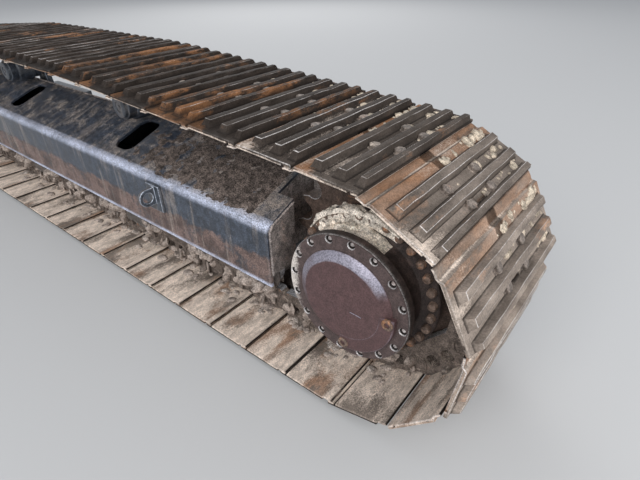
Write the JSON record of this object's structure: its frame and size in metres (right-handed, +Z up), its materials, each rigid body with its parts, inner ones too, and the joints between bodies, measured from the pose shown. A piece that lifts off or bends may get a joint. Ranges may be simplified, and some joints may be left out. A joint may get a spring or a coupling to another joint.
{
  "type": "crawler track unit",
  "caption": "Left-hand crawler track unit: box side frame, drive with sprocket, idler, rollers and a closed chain of ribbed shoes, with two leg ends for a centre frame.",
  "frame": {"origin": "on the ground, under the middle of the chain's width, half way along the track", "axes": "+X forward along the track towards the idler, +Y outboard (left), +Z up"},
  "size_m": [4.464, 0.6, 0.8892],
  "materials": {
    "shoe_steel": "rusty, worn bright at the crests, with dried mud",
    "sprocket_steel": "rusty and greasy",
    "drive_iron": "dark paint over rust, dried mud on top",
    "cover_paint": "dark red-brown paint, worn at the edge",
    "plug_steel": "rusty",
    "frame_paint": "dark blue-black paint, greasy, with rust and mud",
    "roller_iron": "worn and rusty",
    "shaft_steel": "dull",
    "guard_iron": "dark, muddy"
  },
  "bodies": {
    "track_unit": {"track_loop": "shoe_steel", "sprocket": "sprocket_steel", "drive_drum": "drive_iron", "hub_cover": "cover_paint", "hub_plugs": "plug_steel", "drive_spindle": "drive_iron", "travel_motor": "frame_paint", "idler_shaft": "shaft_steel", "idler_blocks": "guard_iron", "idler_yoke": "guard_iron", "adjuster_rod": "shaft_steel", "idler_guides": "frame_paint", "track_rollers": "roller_iron", "roller_shafts": "shaft_steel", "roller_collars": "guard_iron", "carrier_rollers": "frame_paint", "carrier_brackets": "frame_paint", "outer_skin": "frame_paint", "inner_skin": "frame_paint", "bottom_plate": "frame_paint", "rear_end_plate": "frame_paint", "rear_bulkhead": "frame_paint", "front_bulkhead": "frame_paint", "drive_mount": "frame_paint", "drive_ribs": "frame_paint", "chain_guards": "guard_iron", "leg_stubs": "frame_paint", "tie_down_eye": "frame_paint"},
    "idler": {"idler_wheel": "roller_iron"}
  },
  "joints": [
    {"name": "idler_spin", "type": "hinge", "parent": "track_unit", "child": "idler", "pos_m": [1.8435, 0, 0.39907], "axis": [0, 1, 0], "continuous": true}
  ]
}
